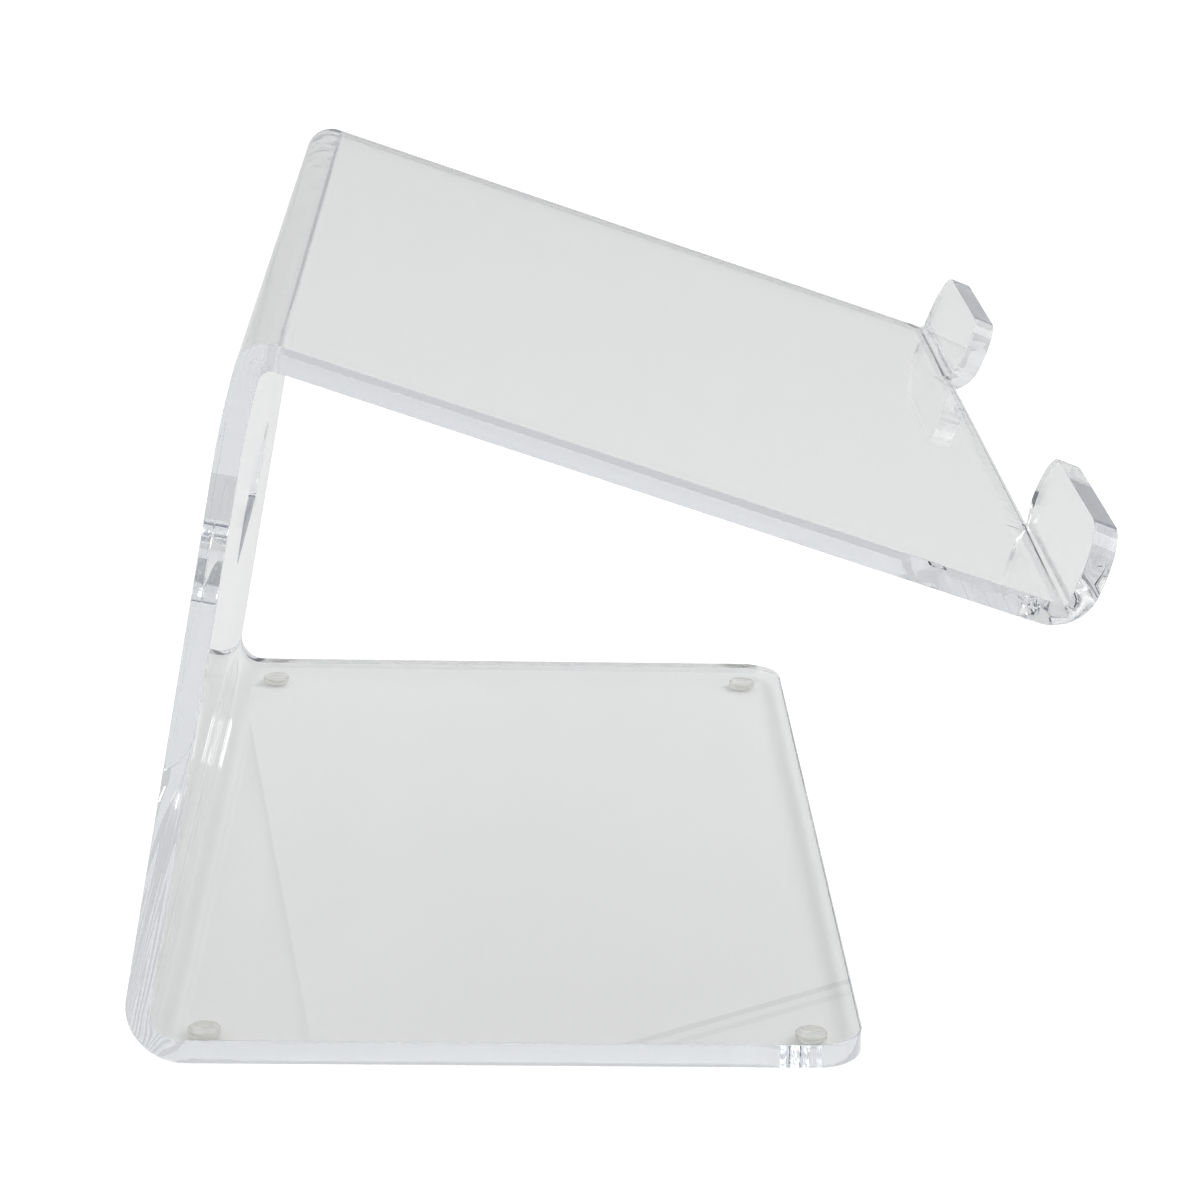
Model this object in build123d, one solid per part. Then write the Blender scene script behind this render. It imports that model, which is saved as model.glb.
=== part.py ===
"""Plate display stand: one thick clear acrylic sheet bent into a base, an upright and a sloping shelf.

Millimetres. +Z is up, the front (the two lips) faces -Y and the width runs along X.
The origin is under the middle of the stand, on the surface it stands on.
The profile is worked out in plain (forward, up) coordinates with the back corner of the base at zero.
"""
from build123d import *
from math import cos, radians, sin
import os

# --- driving dimensions -------------------------------------------------------------------------------
SHEET_T = 6.0             # thickness of the acrylic sheet
WIDTH = 290.0             # side edge to side edge
BASE_LENGTH = 178.0       # front edge of the base to the outer back corner
UPRIGHT_LENGTH = 180.0    # outer back corner to outer top corner
SHELF_LENGTH = 199.0      # outer top corner to the inside of the lips
UPRIGHT_LEAN = 9.6        # degrees forward of vertical
SHELF_SLOPE = 18.0        # degrees down towards the front
BOW_LENGTH = 22.0         # the upright starts to bow forward this far below its top corner
BOW_ANGLE = 5.0           # extra lean above that point, from the heat of bending
BOW_RADIUS = 200.0

BACK_BEND_OUTER = 14.0    # radii of the three heat bends, outside and inside of the sheet
BACK_BEND_INNER = 7.0
TOP_BEND_OUTER = 7.5
TOP_BEND_INNER = 3.0
LIP_BEND_OUTER = 11.0
LIP_BEND_INNER = 1.2

LIP_ANGLE = 87.0          # between the shelf and the lips
LIP_HEIGHT = 19.0         # above the shelf, along the lip
LIP_ROOT_WIDTH = 66.5     # side edge of the sheet to the inner end of the lip, where it leaves the shelf
LIP_WIDTH = 73.0          # the same at its widest, because the inner end flares out above the shelf
LIP_FLARE_RISE = 6.0      # the flare ends this high up the lip
LIP_OUTER_R = 12.0        # outer top corner
LIP_INNER_R = 9.0         # inner top corner
LIP_FLARE_R = 6.0         # rounding where the flare meets the inner end
SHELF_EDGE_GAP = 0.6      # the shelf edge between the lips lies just past their inside face

BASE_CORNER_R = 12.0      # front corners of the base, in plan
SLOT_LENGTH = 84.0        # cable slot through the upright, end to end, with round ends
SLOT_HEIGHT = 22.0
SLOT_RISE = 103.4         # its middle, measured up the back of the upright

FOOT_R = 4.0              # domed bumper feet
FOOT_HEIGHT = 2.2
FOOT_DOME_R = 1.5         # rounding of the lower rim
ADHESIVE_T = 0.2          # adhesive disc between each foot and the sheet
ADHESIVE_R = 3.7
FOOT_SIDE_INSET = 12.5    # foot centre to the side edge
FOOT_FRONT_INSET = 12.0   # foot centre to the front edge of the base
FOOT_BACK_INSET = 20.0    # foot centre to the outer back corner

BASE_Z = FOOT_HEIGHT + ADHESIVE_T


# --- profile corners, (forward, up) with the outer back corner at zero ----------------------------------
def direction(degrees):
    """Unit vector in the profile, measured from straight forward."""
    return Vector(cos(radians(degrees)), sin(radians(degrees)))


def crossing(point_a, along_a, point_b, along_b):
    """Where two lines of the profile cross."""
    gap = point_b - point_a
    turn = along_a.X * along_b.Y - along_a.Y * along_b.X
    return point_a + along_a * ((gap.X * along_b.Y - gap.Y * along_b.X) / turn)


def other_side(corners):
    """The same run of corners on the far face of the sheet, one thickness to the right of travel."""
    runs = [(b - a).normalized() for a, b in zip(corners, corners[1:])]
    moved = [a + Vector(run.Y, -run.X) * SHEET_T for a, run in zip(corners, runs)]
    inner = [crossing(moved[i - 1], runs[i - 1], moved[i], runs[i]) for i in range(1, len(runs))]
    end = corners[-1] + Vector(runs[-1].Y, -runs[-1].X) * SHEET_T
    return [moved[0]] + inner + [end]


UP_THE_BACK = direction(90 - UPRIGHT_LEAN)
DOWN_THE_SHELF = direction(-SHELF_SLOPE)
UP_THE_LIP = direction(LIP_ANGLE - SHELF_SLOPE)
OUT_OF_LIP = Vector(UP_THE_LIP.Y, -UP_THE_LIP.X)

BASE_FRONT = Vector(BASE_LENGTH, 0)
BACK_CORNER = Vector(0, 0)
BOW_START = UP_THE_BACK * (UPRIGHT_LENGTH - BOW_LENGTH)
TOP_OF_BACK = UP_THE_BACK * UPRIGHT_LENGTH
TOP_CORNER = crossing(BOW_START, direction(90 - UPRIGHT_LEAN - BOW_ANGLE), TOP_OF_BACK, DOWN_THE_SHELF)
LIP_ROOT = TOP_OF_BACK + DOWN_THE_SHELF * SHELF_LENGTH
LIP_BEND_START = LIP_ROOT - DOWN_THE_SHELF * 2 * LIP_BEND_OUTER
SHELF_EDGE = LIP_ROOT + DOWN_THE_SHELF * SHELF_EDGE_GAP
LIP_TOP = LIP_ROOT + UP_THE_LIP * LIP_HEIGHT

# Profile coordinates are laid on the YZ plane, halfway between the lips' front and the back bend.
FRONT_MOST = (LIP_TOP + OUT_OF_LIP * SHEET_T).X
BACK_MOST = BACK_BEND_OUTER * ((1 + UP_THE_BACK.X) / UP_THE_BACK.Y - 1)
PROFILE = Plane(origin=(0, (FRONT_MOST + BACK_MOST) / 2, BASE_Z), x_dir=(0, -1, 0), z_dir=(-1, 0, 0))


def rounded(face, corner, radius):
    """Round the profile corner that lies nearest to the given point."""
    vertex = face.vertices().sort_by_distance((corner.X, corner.Y, 0))[0]
    return fillet(vertex, radius)


def in_space(point):
    """A profile point as a point in space, in the middle of the width."""
    return PROFILE.from_local_coords((point.X, point.Y, 0))


def facing(vector):
    """A profile direction as a direction in space."""
    return Vector(0, -vector.X, vector.Y)


# --- the bent sheet ---------------------------------------------------------------------------------------
def sheet_body():
    """Base, upright and shelf as far as the lip bends: the profile drawn across the full width."""
    outer = [BASE_FRONT, BACK_CORNER, BOW_START, TOP_CORNER, LIP_BEND_START]
    inner = other_side(outer)
    face = make_face(Polyline(outer + inner[::-1], close=True))
    bends = (
        (outer[1], BACK_BEND_OUTER),
        (inner[1], BACK_BEND_INNER),
        (outer[2], BOW_RADIUS),
        (inner[2], BOW_RADIUS),
        (outer[3], TOP_BEND_OUTER),
        (inner[3], TOP_BEND_INNER),
    )
    for corner, radius in bends:
        face = rounded(face, corner, radius)
    return extrude(PROFILE * face, WIDTH / 2, both=True)


def shelf_edge():
    """The middle of the shelf, between the lips, up to its straight front edge."""
    outer = [LIP_BEND_START, SHELF_EDGE]
    face = make_face(Polyline(outer + other_side(outer)[::-1], close=True))
    return extrude(PROFILE * face, WIDTH / 2 - LIP_ROOT_WIDTH, both=True)


def lip_outline(side):
    """Front view of one lip, drawn in its own plane: X across the stand, Y up the lip from its root."""
    edge = side * WIDTH / 2
    root = side * (WIDTH / 2 - LIP_ROOT_WIDTH)
    tip = side * (WIDTH / 2 - LIP_WIDTH)
    below = -2 * LIP_BEND_OUTER
    run = [(edge, below), (edge, LIP_HEIGHT), (tip, LIP_HEIGHT), (tip, LIP_FLARE_RISE), (root, 0), (root, below)]
    face = make_face(Polyline(run, close=True))
    face = rounded(face, Vector(edge, LIP_HEIGHT), LIP_OUTER_R)
    face = rounded(face, Vector(tip, LIP_HEIGHT), LIP_INNER_R)
    return rounded(face, Vector(tip, LIP_FLARE_RISE), LIP_FLARE_R)


def lip(side):
    """One lip with the bend that joins it to the shelf; side is -1 for left, +1 for right."""
    outer = [LIP_BEND_START, LIP_ROOT, LIP_TOP]
    inner = other_side(outer)
    face = make_face(Polyline(outer + inner[::-1], close=True))
    face = rounded(face, outer[1], LIP_BEND_INNER)
    face = rounded(face, inner[1], LIP_BEND_OUTER)
    strip = extrude(PROFILE * face, WIDTH / 2, both=True)
    front_view = Plane(origin=in_space(LIP_ROOT), x_dir=(1, 0, 0), z_dir=facing(OUT_OF_LIP))
    return strip & extrude(front_view * lip_outline(side), 3 * LIP_BEND_OUTER, both=True)


def cable_slot():
    """Slot with round ends, cut square to the back of the upright."""
    middle = in_space(UP_THE_BACK * SLOT_RISE)
    through = facing(Vector(UP_THE_BACK.Y, -UP_THE_BACK.X))
    back_face = Plane(origin=middle, x_dir=(1, 0, 0), z_dir=through)
    return extrude(back_face * SlotOverall(SLOT_LENGTH, SLOT_HEIGHT), 2 * SHEET_T, both=True)


def bent_sheet():
    """The whole sheet: base, upright, shelf and the two lips, one piece of acrylic."""
    sheet = sheet_body()
    front_corners = sheet.edges().filter_by(Axis.Z).group_by(Axis.Y)[0]
    sheet = fillet(front_corners, BASE_CORNER_R)
    return sheet + shelf_edge() + lip(-1) + lip(1) - cable_slot()


# --- feet -----------------------------------------------------------------------------------------------
def foot():
    """A domed bumper, flat on top where it is stuck to the sheet."""
    body = Pos(0, 0, FOOT_HEIGHT / 2) * Cylinder(FOOT_R, FOOT_HEIGHT)
    return fillet(body.edges().sort_by(Axis.Z)[0], FOOT_DOME_R)


def adhesive():
    """The thin adhesive disc on top of a foot."""
    return Pos(0, 0, FOOT_HEIGHT + ADHESIVE_T / 2) * Cylinder(ADHESIVE_R, ADHESIVE_T)


def foot_positions():
    """Names and plan positions of the four feet."""
    across = WIDTH / 2 - FOOT_SIDE_INSET
    front = in_space(Vector(BASE_LENGTH - FOOT_FRONT_INSET, 0)).Y
    back = in_space(Vector(FOOT_BACK_INSET, 0)).Y
    for side, x in (("left", -across), ("right", across)):
        yield "front_" + side, x, front
        yield "back_" + side, x, back


# --- write one file per piece -----------------------------------------------------------------------------
pieces = {"bent_sheet": bent_sheet()}
for place, x, y in foot_positions():
    pieces["foot_" + place] = Pos(x, y, 0) * foot()
    pieces["adhesive_" + place] = Pos(x, y, 0) * adhesive()

os.makedirs("parts", exist_ok=True)
for name, piece in pieces.items():
    export_step(piece, "parts/" + name + ".step")
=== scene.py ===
"""Looks of the plate display stand: one bent sheet of clear acrylic on four pale bumper feet.

Metres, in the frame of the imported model. Lengths below are in millimetres until they are placed.
"""
from bisect import bisect_right
from collections import namedtuple
from math import cos, exp, pi, radians, sin, tan

import bmesh
import bpy
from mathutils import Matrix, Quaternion, Vector
from mathutils.geometry import delaunay_2d_cdt
from mathutils.kdtree import KDTree

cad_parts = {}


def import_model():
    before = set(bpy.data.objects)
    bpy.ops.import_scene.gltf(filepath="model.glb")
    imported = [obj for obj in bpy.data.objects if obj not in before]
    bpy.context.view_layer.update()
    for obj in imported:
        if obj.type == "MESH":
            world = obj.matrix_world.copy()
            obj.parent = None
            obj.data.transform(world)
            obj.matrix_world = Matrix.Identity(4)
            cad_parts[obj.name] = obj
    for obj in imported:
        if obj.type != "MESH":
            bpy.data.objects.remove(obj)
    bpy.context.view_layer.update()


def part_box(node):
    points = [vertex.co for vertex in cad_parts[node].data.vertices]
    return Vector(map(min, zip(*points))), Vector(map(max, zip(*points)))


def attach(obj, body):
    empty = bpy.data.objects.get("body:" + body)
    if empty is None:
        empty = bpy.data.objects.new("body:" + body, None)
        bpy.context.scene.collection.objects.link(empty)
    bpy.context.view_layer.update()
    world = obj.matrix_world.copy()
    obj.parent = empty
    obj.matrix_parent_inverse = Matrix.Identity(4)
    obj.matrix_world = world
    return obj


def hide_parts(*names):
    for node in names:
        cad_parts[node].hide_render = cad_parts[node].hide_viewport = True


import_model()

MM = 0.001

# --- driving dimensions, the same as the CAD model's --------------------------------------------------
SHEET_T = 6.0
WIDTH = 290.0
BASE_LENGTH = 178.0
UPRIGHT_LENGTH = 180.0
SHELF_LENGTH = 199.0
UPRIGHT_LEAN = 9.6
SHELF_SLOPE = 18.0
BOW_LENGTH = 22.0
BOW_ANGLE = 5.0
LIP_ANGLE = 87.0
LIP_HEIGHT = 19.0
LIP_ROOT_WIDTH = 66.5
LIP_WIDTH = 73.0
LIP_FLARE_RISE = 6.0
SHELF_EDGE_GAP = 0.6
BASE_CORNER_R = 12.0
SLOT_LENGTH = 84.0
SLOT_HEIGHT = 22.0
SLOT_RISE = 103.4         # from the back corner up the upright to the middle of the cable slot
LIP_OUTER_R = 12.0
LIP_INNER_R = 9.0
LIP_FLARE_R = 6.0
FOOT_R = 4.0
FOOT_HEIGHT = 2.2
ADHESIVE_R = 3.7
ADHESIVE_T = 0.2

# Each bend: its radius on the outer face and on the inner face, how far from its corner it reaches, and the
# depth of the face it squeezes (0 the outer face, 1 the inner one, None where it is too slight for that).
Bend = namedtuple("Bend", "outer_r inner_r reach squeezed")
BACK_BEND = Bend(14.0, 7.0, 17.5, 1)
BOW_BEND = Bend(200.0, 200.0, 9.4, None)
TOP_BEND = Bend(7.5, 3.0, 10.4, 1)
LIP_BEND = Bend(1.2, 11.0, 5.4, 0)

# --- finer shape that only the looks have -------------------------------------------------------------
EDGE_ROUNDING = 0.22      # polished edges of the sheet
BULGE = 0.7               # how much more the squeezed side of a bend stands out than the stretched side
BULGE_SINK = 0.25         # the share of that by which the stretched side lies back
BULGE_CURVE = 1.6         # how much the bulge gathers towards the squeezed side
BULGE_FADE = 3.5          # how fast it dies away from a side edge
BULGE_LENGTH = 0.28       # how far along the sheet it reaches each way, as a share of the bend
HEATED_REACH = 4.5        # how far from the inside corner of a bend the heated acrylic is mottled
HEATED_CORE = 0.35        # share of that reach where the mottling is full
FOOT_FLAT_R = 2.2         # where the nearly flat underside of a foot turns into its round side
FOOT_FLAT_RISE = 0.06
FOOT_SIDE_RISE = 1.6      # where the round side turns upright
FILM_GAP = 0.02           # clearance of the film from the foot and the sheet, so that no faces coincide

# --- fineness of the meshes ---------------------------------------------------------------------------
ARC_STEPS = 26            # facets round each bend
CORNER_STEPS = 12         # facets round each radian of a rounded corner, but never fewer than the next
FEWEST_STEPS = 6
CLOSEST_MARKS = 0.004     # cross lines of a bend are at least this share of it apart
LAYERS = (0.0, 0.1, 0.24, 0.4, 0.55, 0.7, 0.84, 0.93, 1.0)     # rings of points through the thickness
EDGE_LINES = (1.2, 3.0, 6.0, 11.0)     # cuts along the sheet, measured in from its side edges
CUT_PAST_END = 10.0
CUT_TOLERANCE = 1e-5
WHOLE_FACES = 4           # asks for the cut faces themselves rather than for triangles
FOOT_STEPS = 48           # facets round a foot
SLOT_STEPS = 98           # facets round the two ends of the cable slot
STRIP_OVERLAP = 1.0       # how far the shelf's middle strip runs into the bent blank
WELD = 0.03               # points closer than this become one, and one this near a face counts as on it
SHORTEST_EDGE = 0.01
SHARP_EDGE = 40           # edges that turn by more degrees than this are rounded
SAME_WAY = 0.94           # a normal on a face is taken to be the face's own above this cosine


# --- profile of the sheet -----------------------------------------------------------------------------
def direction(degrees):
    """Unit vector in the profile (forward, up), measured from straight forward."""
    return Vector((cos(radians(degrees)), sin(radians(degrees))))


def cross(a, b):
    """Cross product of two profile vectors, positive when b is to the left of a."""
    return a.x * b.y - a.y * b.x


def right_of(run):
    """The direction through the sheet's thickness, to the right of travel."""
    return Vector((run.y, -run.x))


UP_THE_BACK = direction(90 - UPRIGHT_LEAN)
UP_THE_BOW = direction(90 - UPRIGHT_LEAN - BOW_ANGLE)
DOWN_THE_SHELF = direction(-SHELF_SLOPE)
UP_THE_LIP = direction(LIP_ANGLE - SHELF_SLOPE)

BASE_FRONT = Vector((BASE_LENGTH, 0))
BACK_CORNER = Vector((0, 0))
BOW_START = UP_THE_BACK * (UPRIGHT_LENGTH - BOW_LENGTH)
TOP_OF_BACK = UP_THE_BACK * UPRIGHT_LENGTH
TOP_GAP = TOP_OF_BACK - BOW_START
TOP_CORNER = BOW_START + UP_THE_BOW * (cross(TOP_GAP, DOWN_THE_SHELF) / cross(UP_THE_BOW, DOWN_THE_SHELF))
LIP_ROOT = TOP_OF_BACK + DOWN_THE_SHELF * SHELF_LENGTH
LIP_TOP = LIP_ROOT + UP_THE_LIP * LIP_HEIGHT

CORNERS = (BASE_FRONT, BACK_CORNER, BOW_START, TOP_CORNER, LIP_ROOT, LIP_TOP)
RUNS = [(b - a).normalized() for a, b in zip(CORNERS, CORNERS[1:])]
BENDS = (BACK_BEND, BOW_BEND, TOP_BEND, LIP_BEND)

# A point of one face of the sheet with the direction from there through the sheet, outer face to inner.
OnFace = namedtuple("OnFace", "point through")
# A cross line of the sheet: its distance along the outer face, and where it is on the two faces.
Station = namedtuple("Station", "along outer inner")

SHEET_LOW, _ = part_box("bent_sheet")
FRONT_MOST = (LIP_TOP + right_of(UP_THE_LIP) * SHEET_T).x
MIDDLE = FRONT_MOST + SHEET_LOW.y / MM


def in_space(point, across):
    """A profile point, that far across the stand, as a point of the scene."""
    return Vector((across, MIDDLE - point.x, SHEET_LOW.z / MM + point.y)) * MM


def swung(vector, angle):
    """A vector of the profile or of the flat blank, turned anticlockwise."""
    along = vector.x * cos(angle) - vector.y * sin(angle)
    up = vector.x * sin(angle) + vector.y * cos(angle)
    return Vector((along, up))


def inner_corner(index):
    """Where the two runs that meet at one of the corners would cross on the inner face."""
    into, out = RUNS[index - 1], RUNS[index]
    return CORNERS[index] + (right_of(into) * SHEET_T + right_of(out) * SHEET_T) / (1 + into.dot(out))


def bend_curve(start, corner, end, radius):
    """A straight, an arc and a straight, by fraction of length.

    Gives the curve as a function, the fractions of it where the facets meet, and its length.
    """
    into = (corner - start).normalized()
    out = (end - corner).normalized()
    turn = into.angle_signed(out)
    side = -1 if turn > 0 else 1
    sweep = abs(turn)
    reach = radius * tan(sweep / 2)
    first = (corner - start).length - reach
    arc = radius * sweep
    total = first + arc + (end - corner).length - reach
    centre = corner - into * reach - right_of(into) * radius * side

    def at(fraction):
        gone = fraction * total
        if gone <= first:
            return OnFace(start + into * gone, right_of(into))
        if gone >= first + arc:
            return OnFace(end - out * (total - gone), right_of(out))
        through = swung(right_of(into), side * (gone - first) / radius)
        return OnFace(centre + through * radius * side, through)

    marks = [(first + arc * step / ARC_STEPS) / total for step in range(ARC_STEPS + 1)]
    return at, marks, total


def bend_stations(index, so_far):
    """Cross lines of one bend, which starts that far along the sheet."""
    bend = BENDS[index]
    corner, into, out = CORNERS[index + 1], RUNS[index], RUNS[index + 1]
    start, end = corner - into * bend.reach, corner + out * bend.reach
    inner_start, inner_end = start + right_of(into) * SHEET_T, end + right_of(out) * SHEET_T
    outer, outer_marks, total = bend_curve(start, corner, end, bend.outer_r)
    inner, inner_marks, _ = bend_curve(inner_start, inner_corner(index + 1), inner_end, bend.inner_r)
    marks = sorted([0.0, 1.0] + outer_marks + inner_marks)
    kept = [mark for mark, before in zip(marks, [-1.0] + marks) if mark - before > CLOSEST_MARKS]
    kept[-1] = 1.0
    return [Station(so_far + mark * total, outer(mark), inner(mark)) for mark in kept]


def straight_station(along, point, run):
    """The cross line where a straight run of the sheet starts or ends."""
    through = right_of(run)
    return Station(along, OnFace(point, through), OnFace(point + through * SHEET_T, through))


def sheet_stations():
    """All the cross lines of the sheet, and where along it each bend starts and ends."""
    stations = [straight_station(0.0, BASE_FRONT, RUNS[0])]
    spans = []
    for index, bend in enumerate(BENDS):
        last = stations[-1]
        bend_start = CORNERS[index + 1] - RUNS[index] * bend.reach
        start = last.along + (bend_start - last.outer.point).length
        added = bend_stations(index, start)
        spans.append((start, added[-1].along))
        stations += added
    last = stations[-1]
    end = last.along + (LIP_TOP - last.outer.point).length
    stations.append(straight_station(end, LIP_TOP, UP_THE_LIP))
    return stations, spans


STATIONS, BEND_SPANS = sheet_stations()
STATION_AT = [station.along for station in STATIONS]
SHEET_END = STATION_AT[-1]
BACK_END = BEND_SPANS[0][1]
LIP_START, LIP_FLAT = BEND_SPANS[3]
SLOT_AT = BACK_END + SLOT_RISE - BACK_BEND.reach


def on_sheet(along, across, depth):
    """A point of the flat blank, depth 0 on its outer face and 1 on its inner one, after bending."""
    index = min(max(bisect_right(STATION_AT, along), 1), len(STATIONS) - 1)
    before, after = STATIONS[index - 1], STATIONS[index]
    share = (along - before.along) / (after.along - before.along)
    outer = before.outer.point.lerp(after.outer.point, share)
    inner = before.inner.point.lerp(after.inner.point, share)
    return in_space(outer.lerp(inner, depth), across)


# --- the flat blank -----------------------------------------------------------------------------------
def rounded_loop(corners):
    """A closed outline from (across, along, radius) corners, with each corner turned into an arc."""
    points = []
    spots = [Vector((across, along)) for across, along, _ in corners]
    radii = [radius for _, _, radius in corners]
    for before, corner, after, radius in zip(spots[-1:] + spots, spots, spots[1:] + spots[:1], radii):
        if radius == 0:
            points.append(corner)
            continue
        into = (corner - before).normalized()
        out = (after - corner).normalized()
        turn = into.angle_signed(out)
        side = -1 if turn > 0 else 1
        start = corner - into * radius * tan(abs(turn) / 2)
        spoke = right_of(into) * radius * side
        steps = max(FEWEST_STEPS, round(abs(turn) * CORNER_STEPS))
        for step in range(steps + 1):
            points.append(start - spoke + swung(spoke, side * abs(turn) * step / steps))
    return points


def blank_outline():
    """Outline of the flat blank: rounded base corners at one end, the two lips at the other."""
    edge, root, tip = WIDTH / 2, WIDTH / 2 - LIP_ROOT_WIDTH, WIDTH / 2 - LIP_WIDTH
    lip_root = (LIP_START + LIP_FLAT) / 2
    flare = LIP_FLAT + LIP_FLARE_RISE - LIP_BEND.reach
    right = [
        (edge, 0, BASE_CORNER_R),
        (edge, SHEET_END, LIP_OUTER_R),
        (tip, SHEET_END, LIP_INNER_R),
        (tip, flare, LIP_FLARE_R),
        (root, lip_root, 0),
        (root, LIP_START, 0),
    ]
    left = [(-across, along, radius) for across, along, radius in reversed(right)]
    return rounded_loop(right + left)


def circle(radius, count):
    """Points evenly round a circle about the origin, anticlockwise."""
    angles = [2 * pi * step / count for step in range(count)]
    return [Vector((radius * cos(angle), radius * sin(angle))) for angle in angles]


def cable_slot():
    """Outline of the cable slot in the blank: a circle pulled apart into a slot with round ends."""
    reach = (SLOT_LENGTH - SLOT_HEIGHT) / 2
    middle = Vector((0, SLOT_AT))
    points = []
    for point in circle(SLOT_HEIGHT / 2, SLOT_STEPS):
        pulled = reach if point.x > 0 else -reach
        points.append(middle + point + Vector((pulled, 0)))
    return points


def blank_faces():
    """The blank cut into faces along every cross line and along lines close to the side edges."""
    outline = blank_outline()
    points = outline + cable_slot()
    faces = [list(range(len(outline))), list(range(len(outline), len(points)))]
    edges = []
    for along in STATION_AT[1:-1]:
        edges.append((len(points), len(points) + 1))
        points += [Vector((-WIDTH, along)), Vector((WIDTH, along))]
    for inset in EDGE_LINES:
        for side in (-1, 1):
            across = side * (WIDTH / 2 - inset)
            edges.append((len(points), len(points) + 1))
            points += [Vector((across, -CUT_PAST_END)), Vector((across, SHEET_END + CUT_PAST_END))]
    verts, _, cells, _, _, origins = delaunay_2d_cdt(points, edges, faces, WHOLE_FACES, CUT_TOLERANCE)
    return verts, [cell for cell, origin in zip(cells, origins) if origin == [0]]


# --- the solid sheet ----------------------------------------------------------------------------------
def bulge(along, across, depth):
    """How far a bend moves a point sideways at a side edge, out where it squeezes, in where it stretches."""
    inset = WIDTH / 2 - abs(across)
    near_edge = exp(-inset / BULGE_FADE)
    total = 0.0
    for (start, end), bend in zip(BEND_SPANS, BENDS):
        if bend.squeezed is None:
            continue
        away = (along - (start + end) / 2) / ((end - start) * BULGE_LENGTH)
        squeeze = 1 - abs(depth - bend.squeezed)
        total += (squeeze ** BULGE_CURVE - BULGE_SINK) * exp(-away * away)
    return BULGE * near_edge * total * (1 if across > 0 else -1)


def rim_of(cells):
    """The borders that only one face has: the outline of the blank and of its slot."""
    borders = dict.fromkeys((a, b) for cell in cells for a, b in zip(cell, cell[1:] + cell[:1]))
    return [(a, b) for a, b in borders if (b, a) not in borders]


def solid_sheet():
    """The blank given its thickness and bent, as one closed mesh without the shelf's middle edge."""
    verts, cells = blank_faces()
    used = sorted({index for cell in cells for index in cell})
    rim = rim_of(cells)
    on_rim = {index for pair in rim for index in pair}
    mesh = bmesh.new()
    made = {}
    for index in used:
        across, along = verts[index]
        depths = LAYERS if index in on_rim else (0.0, 1.0)
        for depth in depths:
            moved = across + bulge(along, across, depth)
            made[index, depth] = mesh.verts.new(on_sheet(along, moved, depth))
    for cell in cells:
        mesh.faces.new([made[index, 0.0] for index in reversed(cell)])
        mesh.faces.new([made[index, 1.0] for index in cell])
    for a, b in rim:
        for low, high in zip(LAYERS, LAYERS[1:]):
            mesh.faces.new([made[a, low], made[b, low], made[b, high], made[a, high]])
    bmesh.ops.recalc_face_normals(mesh, faces=mesh.faces)
    return to_object(mesh, "bent_acrylic_sheet")


def shelf_strip():
    """The middle of the shelf's front edge, between the lips."""
    half = WIDTH / 2 - LIP_ROOT_WIDTH
    back = LIP_ROOT - DOWN_THE_SHELF * (LIP_BEND.reach + STRIP_OVERLAP)
    front = LIP_ROOT + DOWN_THE_SHELF * SHELF_EDGE_GAP
    through = right_of(DOWN_THE_SHELF) * SHEET_T
    ring = [back, front, front + through, back + through]
    mesh = bmesh.new()
    left = [mesh.verts.new(in_space(point, -half)) for point in ring]
    right = [mesh.verts.new(in_space(point, half)) for point in ring]
    mesh.faces.new(left)
    mesh.faces.new(list(reversed(right)))
    for step in range(4):
        after = (step + 1) % 4
        mesh.faces.new([left[step], right[step], right[after], left[after]])
    bmesh.ops.recalc_face_normals(mesh, faces=mesh.faces)
    return to_object(mesh, "shelf_strip")


def to_object(mesh, name):
    """A scene object from a bmesh, smooth shaded."""
    data = bpy.data.meshes.new(name)
    for face in mesh.faces:
        face.smooth = True
    mesh.to_mesh(data)
    mesh.free()
    made = bpy.data.objects.new(name, data)
    bpy.context.scene.collection.objects.link(made)
    return made


def apply_modifiers(piece):
    """Bake a piece's modifiers into its mesh."""
    graph = bpy.context.evaluated_depsgraph_get()
    shown = piece.evaluated_get(graph)
    baked = bpy.data.meshes.new_from_object(shown, preserve_all_data_layers=True, depsgraph=graph)
    piece.modifiers.clear()
    piece.data = baked


def rounded_edges(mesh):
    """Round the sharp edges of the sheet and give back the faces of the rounding."""
    bmesh.ops.remove_doubles(mesh, verts=mesh.verts, dist=WELD * MM)
    bmesh.ops.dissolve_degenerate(mesh, edges=mesh.edges, dist=SHORTEST_EDGE * MM)
    sharp = [edge for edge in mesh.edges if edge.calc_face_angle(0) > radians(SHARP_EDGE)]
    offset = EDGE_ROUNDING * MM
    made = bmesh.ops.bevel(mesh, geom=sharp, offset=offset, segments=4, profile=0.5, affect="EDGES")
    return set(made["faces"])


def profile_samples():
    """Close-set points on the two faces of the sheet, in the middle plane, and the way the face looks."""
    samples = []
    for before, after in zip(STATIONS, STATIONS[1:]):
        steps = 6 + round(after.along - before.along)
        faces = ((before.outer, after.outer, -1), (before.inner, after.inner, 1))
        for step in range(steps):
            share = step / steps
            for start, end, side in faces:
                spot = start.point.lerp(end.point, share)
                look = start.through.lerp(end.through, share) * side
                samples.append((in_space(spot, 0), Vector((0, -look.x, look.y))))
    return samples


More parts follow.
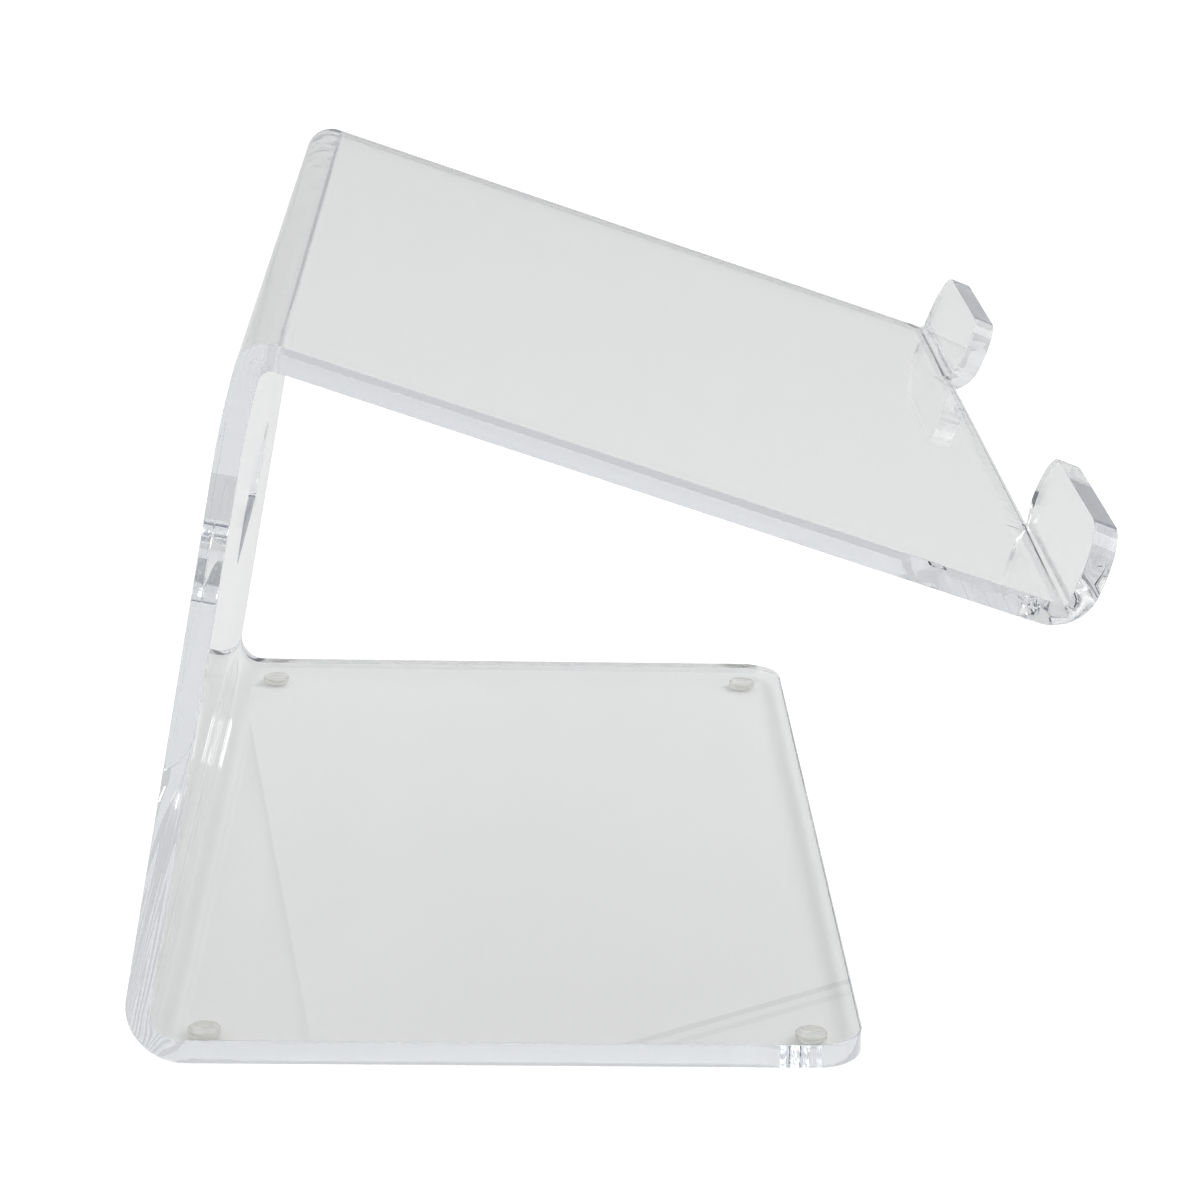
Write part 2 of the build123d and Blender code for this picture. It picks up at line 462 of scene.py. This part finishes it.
def exact_normals(mesh, rounding):
    """A normal for each point: exact on the two faces of the sheet, up to the rounding of their edges."""
    samples = profile_samples()
    tree = KDTree(len(samples))
    for index, (spot, _) in enumerate(samples):
        tree.insert(spot, index)
    tree.balance()
    normals = []
    for vert in mesh.verts:
        plain = [face for face in vert.link_faces if face not in rounding] or vert.link_faces
        blended = sum((face.normal * face.calc_area() for face in plain), Vector()).normalized()
        in_profile = Vector((0, vert.co.y, vert.co.z))
        spot, look = samples[tree.find(in_profile)[1]]
        off_face = (in_profile - spot).dot(look)
        on_face = abs(off_face) < WELD * MM and blended.dot(look) > SAME_WAY
        normals.append(look if on_face else blended)
    return normals


def join(piece, other):
    """Make two closed pieces one, in the first of them."""
    union = piece.modifiers.new("join", "BOOLEAN")
    union.operation = "UNION"
    union.solver = "EXACT"
    union.object = other
    apply_modifiers(piece)
    bpy.data.objects.remove(other)


def acrylic_sheet():
    """The whole sheet, with rounded edges."""
    sheet = solid_sheet()
    join(sheet, shelf_strip())
    mesh = bmesh.new()
    mesh.from_mesh(sheet.data)
    rounding = rounded_edges(mesh)
    for face in mesh.faces:
        face.smooth = True
    mesh.normal_update()
    normals = exact_normals(mesh, rounding)
    mesh.to_mesh(sheet.data)
    mesh.free()
    sheet.data.normals_split_custom_set_from_vertices(normals)
    return sheet


# --- feet ---------------------------------------------------------------------------------------------
def turned(name, profile, node):
    """A round piece about the middle of a CAD node, from (radius, height above its underside) points."""
    low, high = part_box(node)
    centre = (low + high) / 2
    mesh = bmesh.new()
    rings = []
    for radius, height in profile:
        spot = Vector((centre.x, centre.y, low.z + height * MM))
        if radius == 0:
            rings.append([mesh.verts.new(spot)])
        else:
            around = [spot + point.to_3d() * MM for point in circle(radius, FOOT_STEPS)]
            rings.append([mesh.verts.new(point) for point in around])
    for ring, above in zip(rings, rings[1:]):
        for step in range(FOOT_STEPS):
            after = (step + 1) % FOOT_STEPS
            lower = [ring[step % len(ring)], ring[after % len(ring)]]
            upper = [above[after % len(above)], above[step % len(above)]]
            mesh.faces.new(list(dict.fromkeys(lower + upper)))
    bmesh.ops.recalc_face_normals(mesh, faces=mesh.faces)
    return to_object(mesh, name)


def foot_profile():
    """Domed bumper: nearly flat where it stands, round at its side, square at its top edge."""
    points = [(0.0, 0.0), (1.2, 0.01), (2.0, FOOT_FLAT_RISE)]
    for step in range(1, 12):
        angle = radians(90 * step / 11)
        radius = FOOT_FLAT_R + (FOOT_R - FOOT_FLAT_R) * sin(angle)
        points.append((radius, FOOT_SIDE_RISE - (FOOT_SIDE_RISE - FOOT_FLAT_RISE) * cos(angle)))
    points += [(FOOT_R, 2.0), (FOOT_R - 0.06, 2.16), (FOOT_R - 0.16, FOOT_HEIGHT), (0.0, FOOT_HEIGHT)]
    return points


def film_profile():
    """Thin disc, just clear of the foot below it and of the sheet above it."""
    top = ADHESIVE_T - FILM_GAP
    return [(0.0, FILM_GAP), (ADHESIVE_R, FILM_GAP), (ADHESIVE_R, top), (0.0, top)]


# --- materials ----------------------------------------------------------------------------------------
def new_material(name):
    """A node material with its Principled shader and object coordinates ready."""
    material = bpy.data.materials.new(name)
    material.use_nodes = True
    nodes = material.node_tree.nodes
    coords = nodes.new("ShaderNodeTexCoord")
    return material, nodes, material.node_tree.links, nodes["Principled BSDF"], coords


def noise(nodes, links, coords, scale, detail):
    """A noise texture fixed to the object."""
    texture = nodes.new("ShaderNodeTexNoise")
    texture.inputs["Scale"].default_value = scale
    texture.inputs["Detail"].default_value = detail
    links.new(coords.outputs["Object"], texture.inputs["Vector"])
    return texture


def span(nodes, links, source, low, high):
    """Spread a 0..1 texture value between two numbers."""
    scaled = nodes.new("ShaderNodeMapRange")
    scaled.inputs["To Min"].default_value = low
    scaled.inputs["To Max"].default_value = high
    links.new(source, scaled.inputs["Value"])
    return scaled.outputs["Result"]


def tint(nodes, links, source, dark, light):
    """Blend two colours by a texture value."""
    ramp = nodes.new("ShaderNodeValToRGB")
    ramp.color_ramp.elements[0].color = dark
    ramp.color_ramp.elements[1].color = light
    links.new(source, ramp.inputs["Fac"])
    return ramp.outputs["Color"]


def bumped(nodes, links, height, strength, distance, before=None):
    """A normal disturbed by a height, on top of an earlier disturbance if there is one."""
    bump = nodes.new("ShaderNodeBump")
    bump.inputs["Strength"].default_value = strength
    bump.inputs["Distance"].default_value = distance
    links.new(height, bump.inputs["Height"])
    if before:
        links.new(before, bump.inputs["Normal"])
    return bump.outputs["Normal"]


def distance_to(nodes, links, in_profile, corner):
    """How far a shaded point is from the line across the stand through one profile point."""
    gap = nodes.new("ShaderNodeVectorMath")
    gap.operation = "DISTANCE"
    gap.inputs[1].default_value = in_space(corner, 0)
    links.new(in_profile.outputs["Vector"], gap.inputs[0])
    return gap.outputs["Value"]


def near_bends(nodes, links, coords):
    """A value that is 1 along the inside of the two tight bends and falls to 0 a little way from them."""
    in_profile = nodes.new("ShaderNodeVectorMath")
    in_profile.operation = "MULTIPLY"
    in_profile.inputs[1].default_value = (0, 1, 1)
    links.new(coords.outputs["Object"], in_profile.inputs[0])
    top_inside = inner_corner(CORNERS.index(TOP_CORNER))
    nearest = nodes.new("ShaderNodeMath")
    nearest.operation = "MINIMUM"
    links.new(distance_to(nodes, links, in_profile, top_inside), nearest.inputs[0])
    links.new(distance_to(nodes, links, in_profile, LIP_ROOT), nearest.inputs[1])
    mask = nodes.new("ShaderNodeMapRange")
    mask.interpolation_type = "SMOOTHSTEP"
    mask.inputs["From Min"].default_value = HEATED_REACH * MM
    mask.inputs["From Max"].default_value = HEATED_CORE * HEATED_REACH * MM
    links.new(nearest.outputs["Value"], mask.inputs["Value"])
    return mask.outputs["Result"]


def scaled(nodes, links, value, factor):
    """One texture value times another."""
    product = nodes.new("ShaderNodeMath")
    product.operation = "MULTIPLY"
    links.new(value, product.inputs[0])
    links.new(factor, product.inputs[1])
    return product.outputs["Value"]


def acrylic():
    """Clear cast acrylic with a trace of green, slightly wavy, mottled where it was heated to bend it."""
    material, nodes, links, shader, coords = new_material("clear_acrylic")
    shader.inputs["Transmission Weight"].default_value = 1.0
    shader.inputs["IOR"].default_value = 1.49
    haze = noise(nodes, links, coords, 26.0, 4.0).outputs["Fac"]
    colour = tint(nodes, links, haze, (0.966, 0.972, 0.966, 1), (0.974, 0.978, 0.974, 1))
    links.new(colour, shader.inputs["Base Color"])
    links.new(span(nodes, links, haze, 0.0, 0.004), shader.inputs["Roughness"])
    waves = noise(nodes, links, coords, 9.0, 1.0).outputs["Fac"]
    wavy = bumped(nodes, links, waves, 0.01, 0.001)
    mottle = noise(nodes, links, coords, 420.0, 3.0).outputs["Fac"]
    pimples = scaled(nodes, links, mottle, near_bends(nodes, links, coords))
    links.new(bumped(nodes, links, pimples, 0.25, 0.0002, wavy), shader.inputs["Normal"])
    depth = nodes.new("ShaderNodeVolumeAbsorption")
    depth.inputs["Color"].default_value = (0.86, 0.88, 0.92, 1)
    depth.inputs["Density"].default_value = 2.2
    links.new(depth.outputs["Volume"], nodes["Material Output"].inputs["Volume"])
    return material


def bumper():
    """Soft polyurethane, between clear and cream, slightly hazy."""
    material, nodes, links, shader, coords = new_material("bumper_foot")
    shader.inputs["Transmission Weight"].default_value = 0.6
    shader.inputs["IOR"].default_value = 1.4
    cloud = noise(nodes, links, coords, 400.0, 3.0).outputs["Fac"]
    colour = tint(nodes, links, cloud, (0.94, 0.935, 0.89, 1), (0.98, 0.975, 0.94, 1))
    links.new(colour, shader.inputs["Base Color"])
    links.new(span(nodes, links, cloud, 0.02, 0.08), shader.inputs["Roughness"])
    links.new(bumped(nodes, links, cloud, 0.15, 0.0002), shader.inputs["Normal"])
    return material


def adhesive():
    """Milky film of adhesive with tiny trapped bubbles."""
    material, nodes, links, shader, coords = new_material("foot_adhesive")
    shader.inputs["Transmission Weight"].default_value = 0.97
    shader.inputs["IOR"].default_value = 1.47
    cells = nodes.new("ShaderNodeTexVoronoi")
    cells.inputs["Scale"].default_value = 1600.0
    links.new(coords.outputs["Object"], cells.inputs["Vector"])
    bubbles = cells.outputs["Distance"]
    colour = tint(nodes, links, bubbles, (0.98, 0.978, 0.965, 1), (1, 1, 0.99, 1))
    links.new(colour, shader.inputs["Base Color"])
    links.new(span(nodes, links, bubbles, 0.1, 0.03), shader.inputs["Roughness"])
    links.new(bumped(nodes, links, bubbles, 0.3, 0.0002), shader.inputs["Normal"])
    return material


# --- the object ---------------------------------------------------------------------------------------
def place(piece, node, material):
    """Give a finished piece its material in a slot and its body, and hide the CAD node that it replaces."""
    piece.data.materials.clear()
    piece.data.materials.append(material)
    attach(piece, "root")
    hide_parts(node)


place(acrylic_sheet(), "bent_sheet", acrylic())
foot_material = bumper()
adhesive_material = adhesive()
for spot in ("front_left", "front_right", "back_left", "back_right"):
    place(turned("bumper_" + spot, foot_profile(), "foot_" + spot), "foot_" + spot, foot_material)
    film = turned("adhesive_film_" + spot, film_profile(), "adhesive_" + spot)
    place(film, "adhesive_" + spot, adhesive_material)


# --- studio, in metres --------------------------------------------------------------------------------
FLOOR_HALF = 8.0
FLOOR_GAP = 0.0002        # the floor is this far below the feet, so that no faces coincide
FLOOR_GLOW = 0.4          # extra brightness of the floor where the camera sees it directly
SKY_SEEN = 1.5            # brightness of the backdrop where the camera sees it directly
SKY_LIGHT = 0.88          # and where it lights the stand or shows through it
ROOM_LIGHT = (0.03, 0.05, 0.09, 1)      # the unlit side of the studio, as a share of the lit side

CAMERA_AT = (-0.89352, 0.02762, 0.34959)
CAMERA_HEADING = radians(-2.005)    # turned from straight along +X
CAMERA_PITCH = radians(17.189)      # downwards
CAMERA_ROLL = radians(1.266)
CAMERA_LENS = 103.24
CAMERA_SHIFT = (-0.0121, 0.0023)
BOUNCES = 120             # light is guided a long way inside the sheet before it leaves at an edge


def seen_by_camera(nodes, links, direct, indirect):
    """One value where the camera sees a surface directly, another where light goes by way of the stand."""
    path = nodes.new("ShaderNodeLightPath")
    chosen = nodes.new("ShaderNodeMapRange")
    chosen.inputs["To Min"].default_value = indirect
    chosen.inputs["To Max"].default_value = direct
    links.new(path.outputs["Is Camera Ray"], chosen.inputs["Value"])
    return chosen.outputs["Result"]


def floor():
    """A large plain floor with painted shade, greyer towards -X, the dim side of the room, and burnt out to
    white where the camera sees it directly.
    """
    material, nodes, links, shader, coords = new_material("pale_floor")
    axes = nodes.new("ShaderNodeSeparateXYZ")
    links.new(coords.outputs["Object"], axes.inputs["Vector"])
    # painted shade: the floor's own colour is greyed towards -X to stand for the dim room on that side
    painted_shade_falloff = nodes.new("ShaderNodeMapRange")
    painted_shade_falloff.inputs["From Min"].default_value = -0.2
    painted_shade_falloff.inputs["From Max"].default_value = 0.15
    links.new(axes.outputs["X"], painted_shade_falloff.inputs["Value"])
    colour = tint(nodes, links, painted_shade_falloff.outputs["Result"], (0.76, 0.76, 0.755, 1), (0.86, 0.86, 0.86, 1))
    links.new(colour, shader.inputs["Base Color"])
    shader.inputs["Roughness"].default_value = 0.9
    shader.inputs["Specular IOR Level"].default_value = 0.0
    shader.inputs["Emission Color"].default_value = (1, 1, 1, 1)
    links.new(seen_by_camera(nodes, links, FLOOR_GLOW, 0.0), shader.inputs["Emission Strength"])
    mesh = bmesh.new()
    bmesh.ops.create_grid(mesh, x_segments=1, y_segments=1, size=FLOOR_HALF)
    ground = to_object(mesh, "floor")
    ground.location.z = -FLOOR_GAP
    ground.data.materials.append(material)


def sky_by_height(nodes, links, height):
    """Soft light, greyer towards the horizon and brightest overhead."""
    ramp = nodes.new("ShaderNodeValToRGB")
    links.new(height, ramp.inputs["Fac"])
    stops = ramp.color_ramp.elements
    stops[0].position, stops[0].color = 0.0, (0.76, 0.76, 0.765, 1)
    stops[1].position, stops[1].color = 1.0, (1.28, 1.28, 1.28, 1)
    middle = stops.new(0.5)
    middle.color = (0.81, 0.81, 0.815, 1)
    return ramp.outputs["Color"]


def dim_room(nodes, links, sideways):
    """What share of the light is left in a direction: all of it but for the dim room on the -X side."""
    room = nodes.new("ShaderNodeMapRange")
    room.interpolation_type = "SMOOTHSTEP"
    room.inputs["From Min"].default_value = -0.5
    room.inputs["From Max"].default_value = -0.62
    room.inputs["To Min"].default_value = 1.0
    room.inputs["To Max"].default_value = 0.0
    links.new(sideways, room.inputs["Value"])
    return tint(nodes, links, room.outputs["Result"], ROOM_LIGHT, (1, 1, 1, 1))


def world():
    """The soft light of the studio, from all sides but the dim room."""
    sky = bpy.data.worlds.new("studio")
    bpy.context.scene.world = sky
    sky.use_nodes = True
    nodes, links = sky.node_tree.nodes, sky.node_tree.links
    coords = nodes.new("ShaderNodeTexCoord")
    split = nodes.new("ShaderNodeSeparateXYZ")
    links.new(coords.outputs["Generated"], split.inputs["Vector"])
    shaded = nodes.new("ShaderNodeVectorMath")
    shaded.operation = "MULTIPLY"
    links.new(sky_by_height(nodes, links, split.outputs["Z"]), shaded.inputs[0])
    links.new(dim_room(nodes, links, split.outputs["X"]), shaded.inputs[1])
    links.new(shaded.outputs["Vector"], nodes["Background"].inputs["Color"])
    links.new(seen_by_camera(nodes, links, SKY_SEEN, SKY_LIGHT), nodes["Background"].inputs["Strength"])


def softbox(name, spot, aim, size, power):
    """A square area light at a spot, turned towards a point."""
    data = bpy.data.lights.new(name, "AREA")
    data.shape = "SQUARE"
    data.size = size
    data.energy = power
    lamp = bpy.data.objects.new(name, data)
    lamp.location = spot
    lamp.rotation_euler = (Vector(aim) - Vector(spot)).to_track_quat("-Z", "Y").to_euler()
    bpy.context.scene.collection.objects.link(lamp)


def camera():
    """The camera, on the -X side and looking slightly down at the stand."""
    data = bpy.data.cameras.new("camera")
    data.lens = CAMERA_LENS
    data.sensor_width = 36.0
    data.shift_x, data.shift_y = CAMERA_SHIFT
    data.clip_start = 0.01
    eye = bpy.data.objects.new("camera", data)
    level = Vector((cos(CAMERA_HEADING), sin(CAMERA_HEADING), 0)) * cos(CAMERA_PITCH)
    ahead = level - Vector((0, 0, sin(CAMERA_PITCH)))
    eye.location = CAMERA_AT
    eye.rotation_mode = "QUATERNION"
    eye.rotation_quaternion = ahead.to_track_quat("-Z", "Y") @ Quaternion((0, 0, 1), CAMERA_ROLL)
    bpy.context.scene.collection.objects.link(eye)
    bpy.context.scene.camera = eye


floor()
world()
softbox("key", spot=(0.0, -1.6, 1.7), aim=(0, 0, 0), size=1.4, power=18.0)
softbox("far_lamp", spot=(2.5, -0.78, 0.11), aim=(0, 0, 0.05), size=0.05, power=0.022)
camera()

scene = bpy.context.scene
scene.view_settings.view_transform = "Standard"
scene.cycles.max_bounces = BOUNCES
scene.cycles.transmission_bounces = BOUNCES
scene.cycles.glossy_bounces = BOUNCES
scene.cycles.blur_glossy = 0.0
